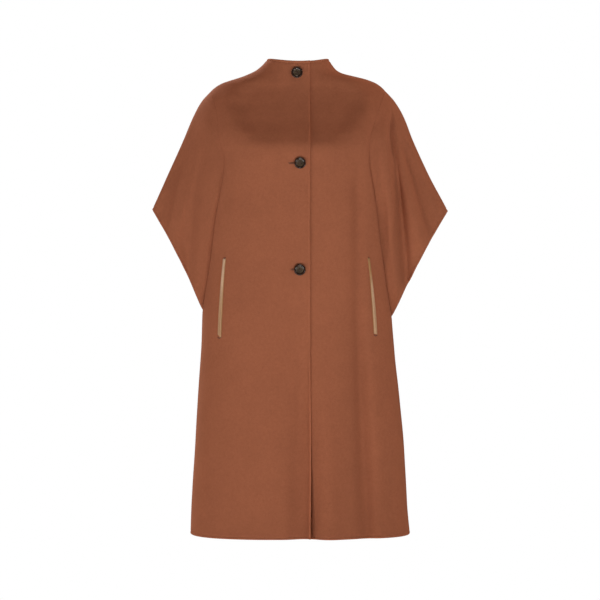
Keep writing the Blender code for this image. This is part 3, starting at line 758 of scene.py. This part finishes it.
def new_material(
    name, colour, roughness, spots=(), bumps=None, value=None, saturation=None, **settings
):
    """A material with lighter and darker spots of (size, strength) and bumps of (size, height,
    strength). Value and saturation change over their ranges with the attribute "edge"."""
    made = bpy.data.materials.new(name)
    made.use_nodes = True
    shader = made.node_tree.nodes["Principled BSDF"]
    settings.update(Base_Color=(*linear(colour), 1.0), Roughness=roughness)
    for key, setting in settings.items():
        shader.inputs[key.replace("_", " ")].default_value = setting
    if not spots:
        return made
    place = {"Vector": (add_node(made, "ShaderNodeTexCoord"), "Object")}
    sources = []
    for size, strength in spots:
        grains = add_node(made, "ShaderNodeTexNoise", place, Scale=1.0 / size, Detail=3.0)
        sources.append((grains, 0.3, 0.7, 1.0 - strength, 1.0 + strength))
    if value or saturation:
        edge = add_node(made, "ShaderNodeAttribute", attribute_name="edge")
        sources += [(edge, 0.0, 1.0, *ends) for ends in (value, saturation) if ends]
    factors = [
        add_node(made, "ShaderNodeMapRange", {"Value": (source, "Fac")},
                 From_Min=start, From_Max=end, To_Min=low, To_Max=high)
        for source, start, end, low, high in sources
    ]
    links = {"Saturation": (factors.pop(), 0)} if saturation else {}
    product = factors[0]
    for factor in factors[1:]:
        pair = {0: (product, 0), 1: (factor, 0)}
        product = add_node(made, "ShaderNodeMath", pair, operation="MULTIPLY")
    links["Value"] = (product, 0)
    tinted = add_node(made, "ShaderNodeHueSaturation", links, Color=(*linear(colour), 1.0))
    made.node_tree.links.new(tinted.outputs["Color"], shader.inputs["Base Color"])
    if bumps:
        size, height, strength = bumps
        grains = add_node(made, "ShaderNodeTexNoise", place, Scale=1.0 / size, Detail=4.0)
        links = {"Height": (grains, "Fac")}
        bumpy = add_node(made, "ShaderNodeBump", links, Strength=strength, Distance=height)
        made.node_tree.links.new(bumpy.outputs["Normal"], shader.inputs["Normal"])
    return made


# Double-faced wool, felted and brushed: matt, with a short nap that catches a little light. A
# fibre is 0.02 mm thick, too fine to show, so the nap is drawn as clumps of 1 to 6 mm. The dye
# changes a little over 30 and 110 mm. Along the turned edges the wool is drawn paler, a painted
# highlight where the folded nap catches light.
WOOL = new_material(
    "felted wool", "#96593F", 0.92,
    spots=((0.0016, 0.07), (0.006, 0.05), (0.030, 0.03), (0.110, 0.03)),
    bumps=(0.0011, 0.0004, 0.5), value=(1.0, 1.26), Specular_IOR_Level=0.06,
    Sheen_Weight=0.10, Sheen_Roughness=0.55, Sheen_Tint=(*linear("#D08F6C"), 1.0),
)
# Pale beige leather, dyed and buffed: satin, with a soft grain of 0.8 mm. With "edge" it is drawn
# darker and richer: painted shade along its sides and under the cloth at one welt's top, a darker
# lower end on the other, and a darker streak.
LEATHER = new_material(
    "beige leather", "#C29A78", 0.55, spots=((0.0012, 0.05), (0.006, 0.06), (0.040, 0.06)),
    bumps=(0.0008, 0.0001, 0.3), value=(1.0, 0.56), saturation=(0.92, 1.32),
)
# Turned and polished horn: dark, with clouds of 2 and 8 mm and soft highlights. The dished
# face is paler and less polished than the rim.
HORN = {
    "spots": ((0.002, 0.25), (0.008, 0.30)),
    "Specular_IOR_Level": 0.32, "Coat_Weight": 0.12, "Coat_Roughness": 0.12,
}
HORN_RIM = new_material("dark horn rim", "#2A180E", 0.24, **HORN)
HORN_FACE = new_material("horn face, paler", "#46392A", 0.36, **HORN)
# Twisted sewing thread: matt, with a faint sheen. Its twist, 0.3 mm long, is drawn twice as
# coarse to show.
THREAD = {"spots": ((0.0006, 0.15),), "Sheen_Weight": 0.1}
BUTTON_THREAD = new_material("thread on the buttons", "#4A2E20", 0.8, **THREAD)
HOLE_THREAD = new_material("buttonhole thread", "#7A4428", 0.8, **THREAD)
TACK_THREAD = new_material("thread of the welt's tacks", "#4C2618", 0.8, **THREAD)
# Painted shade inside a buttonhole: a dark line where no light reaches the cut wool.
SLIT_SHADE = new_material("shade inside a buttonhole", "#45200F", 0.95)


# ---- meshes ----

def as_mesh(name, shape):
    """The shape as a mesh, which uses it up."""
    mesh = bpy.data.meshes.new(name)
    shape.to_mesh(mesh)
    shape.free()
    return mesh


def add_object(name, data):
    made = bpy.data.objects.new(name, data)
    bpy.context.scene.collection.objects.link(made)
    return made


def add_piece(name, shape, finishes, node):
    """The shape as a piece of the coat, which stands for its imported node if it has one."""
    mesh = as_mesh(name, shape)
    mesh.shade_smooth()
    for finish in finishes:
        mesh.materials.append(finish)
    made = add_object(name, mesh)
    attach(made, "root")
    if node:
        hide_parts(node)


def slab(outer, inner, highlight_and_shade):
    """A closed slab with outer and inner as its faces, row by row, and its painted highlight and
    shade as "edge".
    """
    rows, columns = outer.shape[0] - 1, outer.shape[1] - 1
    shape = bmesh.new()
    # The attribute "edge" holds painted highlight and shade, which the materials turn into colour.
    edge = shape.verts.layers.float.new("edge")
    bmesh.ops.create_grid(shape, x_segments=columns, y_segments=rows, size=0.5)
    grown = bmesh.ops.extrude_face_region(shape, geom=shape.faces[:], use_keep_orig=True)
    far_side = [item for item in grown["geom"] if isinstance(item, bmesh.types.BMVert)]
    bmesh.ops.translate(shape, vec=(0.0, 0.0, 1.0), verts=far_side)
    for corner in shape.verts:
        column = round((corner.co.x + 0.5) * columns)
        row = round((corner.co.y + 0.5) * rows)
        corner.co = (inner if corner.co.z > 0.5 else outer)[row, column]
        corner[edge] = highlight_and_shade[row, column]
    bmesh.ops.remove_doubles(shape, verts=shape.verts[:], dist=1.5e-5)
    bmesh.ops.recalc_face_normals(shape, faces=shape.faces[:])
    return shape


def front_surface(x, z):
    """A point of the fronts' outer face, where it isn't under the lap, and its normal."""
    point, normal = body_form(FRONT, np.arcsin(share_at(x, z)), z)
    relief = crease_relief("front", x, z) + chest_dish(x, z) + unevenness(point)
    point = point + normal * float(relief)
    point[1] += FRONT * SEAM_GAP / 2.0
    return point, normal


def resting(x, z, lift=0.0):
    """A place on the fronts, with X towards the wearer's left and Z out of the cloth."""
    point, normal = front_surface(x, z)
    out = Vector(normal)
    right = Vector((1.0, 0.0, 0.0))
    right = (right - out * right.dot(out)).normalized()
    turned = Matrix((right, out.cross(right), out)).transposed().to_4x4()
    return Matrix.Translation(Vector(lean(point + normal * lift))) @ turned


def add_strand(shape, place, start, end, radius, lift=0.0):
    """A short length of thread from start to end, both (x, y) on the place."""
    start, end = Vector((*start, lift)), Vector((*end, lift))
    run = end - start
    turned = run.to_track_quat("X", "Z").to_matrix().to_4x4()
    size = Matrix.Diagonal((run.length / 2.0 + radius, radius, radius, 1.0))
    spot = place @ Matrix.Translation((start + end) / 2.0) @ turned @ size
    bmesh.ops.create_uvsphere(shape, u_segments=12, v_segments=8, radius=1.0, matrix=spot)


def add_pins(shape, place, spacing, middle, radius, length, segments):
    """Four upright round pins at the corners of a square, with their middles at this height."""
    for corner in range(4):
        turn = QUARTER * (corner + 0.5)
        reach = spacing / math.sqrt(2.0)
        spot = Matrix.Translation((reach * math.cos(turn), reach * math.sin(turn), middle))
        bmesh.ops.create_cone(
            shape, cap_ends=True, segments=segments, radius1=radius, radius2=radius,
            depth=length, matrix=place @ spot,
        )


# ---- welts ----

# The middles of a welt's ends before the coat's lean, its widths there, how far it bows
# sideways and how much its lower end slants.
WELTS = table(
    "node top_x top_z hem_x hem_z top_width hem_width bow slant",
    ("welt_right", -0.1593, -0.406, -0.1695, -0.574, 0.0062, 0.0084, -0.0012, 0.003),
    ("welt_left", 0.149, -0.3985, 0.1638, -0.5585, 0.0042, 0.0076, 0.0017, 0.001),
)
WELT_THICKNESS = 0.0019
WELT_TUCK = 0.0004  # its underside lies this far inside the face of the cloth
WELT_END_RADIUS = 0.001
WELT_STEPS = (0.0, 0.0004, 0.0010)
WELT_COLUMNS = 14
WELT_ROWS = 90

# The tacks at a welt's ends: how far down it they lie, and how far across its middle they
# start, end and drop, in shares of its width.
TACKS = table(
    "down start end drop",
    (-0.01, -0.55, 0.55, 0.0),
    (0.004, -0.5, 0.5, 0.0),
    (1.01, -0.62, 0.04, 0.38),
    (1.01, 0.62, -0.04, 0.38),
)
TACK_RADIUS = 0.00045
SLANTED_TACK_GAIN = 0.001
THREAD_LIFT = 0.0002  # thread on the cloth has its middle this far out of its face


def welt_shade(welt, along):
    """How dark the leather is drawn: painted shade along both sides, darker at one end, and a
    darker streak.
    """
    down = along[:, None]
    aside = -np.cos(np.pi * np.arange(WELT_COLUMNS + 1) / WELT_COLUMNS)[None, :]
    # Painted shade along both sides, where the dome turns away from the light.
    sides = 0.75 * smoothstep(0.55, 1.0, np.abs(aside))
    # Painted shade at the top of the left welt, where the cloth folds over it; the right one is
    # darker towards its lower end.
    if welt.node == "welt_left":
        darker_end = 0.85 * smoothstep(0.42, 0.10, down) + 0.22
    else:
        darker_end = 0.30 * smoothstep(0.25, 0.60, down) + 0.06
    streak = 0.45 * bump((aside - 0.15) / 0.22) * smoothstep(0.45, 0.75, down)
    return np.clip(sides + darker_end + streak, 0.0, 1.0)


def add_welt(welt):
    """A strip of leather along its pocket's mouth, domed, with its edges turned under."""
    run_x, run_z = welt.hem_x - welt.top_x, welt.hem_z - welt.top_z
    length = math.hypot(run_x, run_z)
    along = shares(length, WELT_ROWS, start=WELT_STEPS, end=WELT_STEPS)
    outer = np.zeros((len(along), WELT_COLUMNS + 1, 3))
    inner = np.zeros_like(outer)
    for row, down in enumerate(along):
        width = mix(welt.top_width, welt.hem_width, smoothstep(0.0, 0.8, down))
        bowed = welt.bow * 4.0 * down * (1.0 - down)
        short = max(1.0 - min(down, 1.0 - down) * length / WELT_END_RADIUS, 0.0)
        full = WELT_THICKNESS * (0.4 + 0.6 * math.sqrt(1.0 - short ** 2))
        for column in range(WELT_COLUMNS + 1):
            aside = -math.cos(math.pi * column / WELT_COLUMNS)
            lower = down + welt.slant * aside * smoothstep(0.9, 1.0, down) / length
            sideways = (0.5 * aside * width + bowed) / length
            x = welt.top_x + lower * run_x - sideways * run_z
            z = welt.top_z + lower * run_z + sideways * run_x
            point, normal = front_surface(x, z)
            dome = 0.25 + 0.75 * (1.0 - abs(aside) ** 3.5)
            outer[row, column] = point + normal * full * dome
            inner[row, column] = point - normal * WELT_TUCK
    strip = slab(lean(outer), lean(inner), welt_shade(welt, along))
    add_piece("pocket_" + welt.node, strip, [LEATHER], welt.node)
    tacks = bmesh.new()
    for tack in TACKS:
        x, z = mix(welt.top_x, welt.hem_x, tack.down), mix(welt.top_z, welt.hem_z, tack.down)
        place = resting(x, z, WELT_THICKNESS if 0.0 < tack.down < 1.0 else THREAD_LIFT)
        width = welt.top_width if tack.down < 0.5 else welt.hem_width
        start, end = (tack.start * width, 0.0), (tack.end * width, -tack.drop * width)
        add_strand(tacks, place, start, end, TACK_RADIUS + SLANTED_TACK_GAIN * tack.drop)
    add_piece("tacks_of_" + welt.node, tacks, [TACK_THREAD], None)


# ---- buttons ----

# hole_reach is how far a worked buttonhole runs out from under its button.
BUTTONS = table(
    "node x z spin hole_reach",
    ("button_top", -0.0043, 0.0065, 0.15, 0.0),
    ("button_middle", 0.0023, -0.2009, -0.1, 0.0125),
    ("button_bottom", 0.0017, -0.4272, 0.32, 0.008),
)
BUTTON_RADIUS = 0.01225
BUTTON_THICKNESS = 0.004
BUTTON_STAND = 0.0011  # how far the thread shank holds the back off the cloth
BUTTON_FACE = 0.63  # the paler face takes this share of the radius
BUTTON_HOLE_RADIUS = 0.001
BUTTON_HOLE_SPACING = 0.0042
THREAD_TOP = 0.58  # thread crosses the face at this share of the thickness
THREAD_RADIUS = 0.0004
THREAD_ASIDE = 0.00035  # and this far to each side of the line between two holes
SHANK_SPACING = 0.55 * BUTTON_HOLE_SPACING
SHANK_RADIUS = 0.0009
SHANK_SHORT = 0.0003  # it is this much shorter than the way from cloth to thread

# Half of the button's section, in shares of its radius and its thickness, from the middle of
# its dished face over the rim to the middle of its back.
BUTTON_PROFILE = (
    (0.0, 0.56), (0.25, 0.56), (0.46, 0.57), (0.56, 0.6), (0.62, 0.68), (0.67, 0.81), (0.73, 0.92),
    (0.8, 0.99), (0.86, 1.0), (0.92, 0.95), (0.97, 0.84), (0.995, 0.7), (1.0, 0.58), (0.985, 0.44),
    (0.94, 0.3), (0.86, 0.14), (0.74, 0.02), (0.68, 0.0), (0.0, 0.0),
)


def turned_button():
    """A button's body, face up, with its four holes cut."""
    shape = bmesh.new()
    spots = [
        shape.verts.new((radius * BUTTON_RADIUS, 0.0, height * BUTTON_THICKNESS))
        for radius, height in BUTTON_PROFILE
    ]
    for first, second in zip(spots, spots[1:]):
        shape.edges.new((first, second))
    bmesh.ops.spin(
        shape, geom=shape.verts[:] + shape.edges[:], axis=(0.0, 0.0, 1.0), cent=(0.0, 0.0, 0.0),
        angle=2.0 * math.pi, steps=72, use_merge=True,
    )
    bmesh.ops.remove_doubles(shape, verts=shape.verts[:], dist=1e-6)
    bmesh.ops.recalc_face_normals(shape, faces=shape.faces[:])
    for face in shape.faces:
        middle = face.calc_center_median()
        inside = math.hypot(middle.x, middle.y) < BUTTON_FACE * BUTTON_RADIUS
        face.material_index = int(inside and middle.z > 0.25 * BUTTON_THICKNESS)
    whole = add_object("whole button", as_mesh("button body", shape))
    holes = bmesh.new()
    length = 4.0 * BUTTON_THICKNESS
    add_pins(holes, Matrix(), BUTTON_HOLE_SPACING, 0.0, BUTTON_HOLE_RADIUS, length, 24)
    cutter = add_object("hole cutter", as_mesh("button holes", holes))
    cut = whole.modifiers.new("holes", "BOOLEAN")
    cut.operation, cut.solver, cut.object = "DIFFERENCE", "EXACT", cutter
    ready = whole.evaluated_get(bpy.context.evaluated_depsgraph_get())
    drilled = bpy.data.meshes.new_from_object(ready)
    for thing in (whole, cutter):
        bpy.data.objects.remove(thing, do_unlink=True)
    return drilled


def add_button(button, drilled):
    """A button on its thread shank, and what shows of its buttonhole."""
    place = resting(button.x, button.z, BUTTON_STAND) @ Matrix.Rotation(button.spin, 4, "Z")
    shape = bmesh.new()
    shape.from_mesh(drilled)
    bmesh.ops.transform(shape, matrix=place, verts=shape.verts[:])
    add_piece("coat_" + button.node, shape, [HORN_RIM, HORN_FACE], button.node)
    threads = bmesh.new()
    half, top = BUTTON_HOLE_SPACING / 2.0, THREAD_TOP * BUTTON_THICKNESS
    for aside in (-THREAD_ASIDE, THREAD_ASIDE):
        for way, lift in ((1.0, top), (-1.0, top + THREAD_RADIUS)):
            start, end = (aside - half, -way * (half + aside)), (half + aside, way * (half - aside))
            add_strand(threads, place, start, end, THREAD_RADIUS, lift)
    middle, length = 0.5 * (top - BUTTON_STAND), top + BUTTON_STAND - SHANK_SHORT
    add_pins(threads, place, SHANK_SPACING, middle, SHANK_RADIUS, length, 12)
    add_piece("thread_of_" + button.node, threads, [BUTTON_THREAD], None)
    if button.hole_reach:
        add_buttonhole(button)


STITCH_SPACING = 0.00062
STITCH_LENGTH = 0.0018
STITCH_RADIUS = 0.00033
SLIT_HALF = 0.00045


def add_buttonhole(button):
    """The end of a buttonhole: a dark sliver of painted shade in its slit, with stitches laid side
    by side round it.
    """
    stitches, slit_shade = bmesh.new(), bmesh.new()
    reach = BUTTON_RADIUS + button.hole_reach - STITCH_LENGTH
    for number in range(int(reach / STITCH_SPACING)):
        place = resting(button.x - reach + number * STITCH_SPACING, button.z, THREAD_LIFT)
        for way in (-1.0, 1.0):
            start, end = (0.0, way * SLIT_HALF), (0.0, way * (SLIT_HALF + 0.75 * STITCH_LENGTH))
            add_strand(stitches, place, start, end, STITCH_RADIUS)
    place = resting(button.x - reach, button.z, THREAD_LIFT)
    for number in range(7):
        turn = math.pi * (0.5 + number / 6.0)
        x, y = math.cos(turn), math.sin(turn)
        start, end = ((length * x, length * y) for length in (0.0005, STITCH_LENGTH))
        add_strand(stitches, place, start, end, STITCH_RADIUS)
    # A dark sliver along the slit: painted shade.
    place = resting(button.x - 0.5 * reach, button.z)
    add_strand(slit_shade, place, (-0.5 * reach, 0.0), (0.5 * reach, 0.0), SLIT_HALF)
    add_piece("buttonhole_of_" + button.node, stitches, [HOLE_THREAD], None)
    add_piece("slit_shade_of_" + button.node, slit_shade, [SLIT_SHADE], None)


# ---- the coat ----

# What each piece of cloth was cut to: width, length and flat area, in metres.
CUTS = table(
    "node label width length area",
    ("front_right", "right_front", 0.31, 1.08, 0.297),
    ("front_left", "left_front", 0.31, 1.08, 0.29),
    ("back", "coat_back", 0.6, 1.06, 0.521),
    ("sleeve_right", "right_cape_sleeve", 0.42, 0.52, 0.1),
    ("sleeve_left", "left_cape_sleeve", 0.42, 0.52, 0.113),
)

faces = faces_of_cloth()
for cut in CUTS:
    add_piece(cut.label, slab(*faces[cut.node]), [WOOL], cut.node)
for welt in WELTS:
    add_welt(welt)
drilled = turned_button()
for button in BUTTONS:
    add_button(button, drilled)

# ---- the studio ----

scene = bpy.context.scene
CAMERA_PLACE = (0.0022, -4.7, -0.4913)
CAMERA_LENS = 128.9
FLOOR_HEIGHT = -1.45
FLOOR_RADIUS = 1.2
LIT_SPOT = (0.0, 0.0, -0.5)
ROOM_LIGHT = 0.09  # how strong the light from all round is

# The lights from above are a little warmer than the ones in front.
WHITE, WARM = "#FFFFFF", "#FFE8D8"

LIGHTS = table(
    "name place power colour size",
    ("low front light", (0.0, -2.29, -2.44), 48.0, WHITE, (1.2, 1.0)),
    ("front light, near right", (-1.15, -2.46, -1.77), 16.5),
    ("front light, right", (-2.32, -1.68, -1.4), 29.5, WHITE, (1.5, 1.0)),
    ("front light, left", (1.95, -2.19, -1.12), 30.5, WHITE, (1.5, 1.0)),
    ("high front light, left", (2.36, -1.36, 0.77), 6.0),
    ("high side light, right", (-2.16, 0.79, 1.43), 18.0, WARM),
    ("high side light, left", (2.16, 0.79, 1.43), 30.0, WARM),
    ("high back light, right", (-1.33, 1.99, 1.27), 60.0),
    ("top light", (0.0, 0.1, 2.49), 20.0, WARM),
    defaults=(WHITE, (1.0, 1.0)),
)


def add_floor():
    """A pale floor, well below the coat."""
    shape = bmesh.new()
    bmesh.ops.create_circle(shape, cap_ends=True, segments=96, radius=FLOOR_RADIUS)
    bmesh.ops.translate(shape, vec=(0.0, 0.0, FLOOR_HEIGHT), verts=shape.verts[:])
    mesh = as_mesh("floor", shape)
    mesh.materials.append(new_material("pale floor", "#E4E2DF", 0.9))
    add_object("floor", mesh)


def add_light(row):
    """A rectangular light that shines at the middle of the coat."""
    light = bpy.data.lights.new(row.name, "AREA")
    light.shape = "RECTANGLE"
    light.size, light.size_y = row.size
    light.energy = row.power
    light.color = linear(row.colour)
    made = add_object(row.name, light)
    made.location = row.place
    towards = Vector(LIT_SPOT) - Vector(row.place)
    made.rotation_euler = towards.to_track_quat("-Z", "Y").to_euler()


def light_the_room():
    """A white backdrop, and weak light all round."""
    world = bpy.data.worlds.new("studio")
    world.use_nodes = True
    world.node_tree.nodes.clear()
    path = add_node(world, "ShaderNodeLightPath")
    around, seen = (
        add_node(world, "ShaderNodeBackground", Color=(1.0,) * 4, Strength=strength)
        for strength in (ROOM_LIGHT, 1.0)
    )
    links = {0: (path, "Is Camera Ray"), 1: (around, 0), 2: (seen, 0)}
    choice = add_node(world, "ShaderNodeMixShader", links)
    add_node(world, "ShaderNodeOutputWorld", {"Surface": (choice, 0)})
    scene.world = world


def add_camera():
    camera = bpy.data.cameras.new("camera")
    camera.lens = CAMERA_LENS
    scene.camera = add_object("camera", camera)
    scene.camera.location = CAMERA_PLACE
    scene.camera.rotation_euler = (QUARTER, 0.0, 0.0)


add_floor()
for light in LIGHTS:
    add_light(light)
light_the_room()
add_camera()
scene.view_settings.view_transform = "Standard"
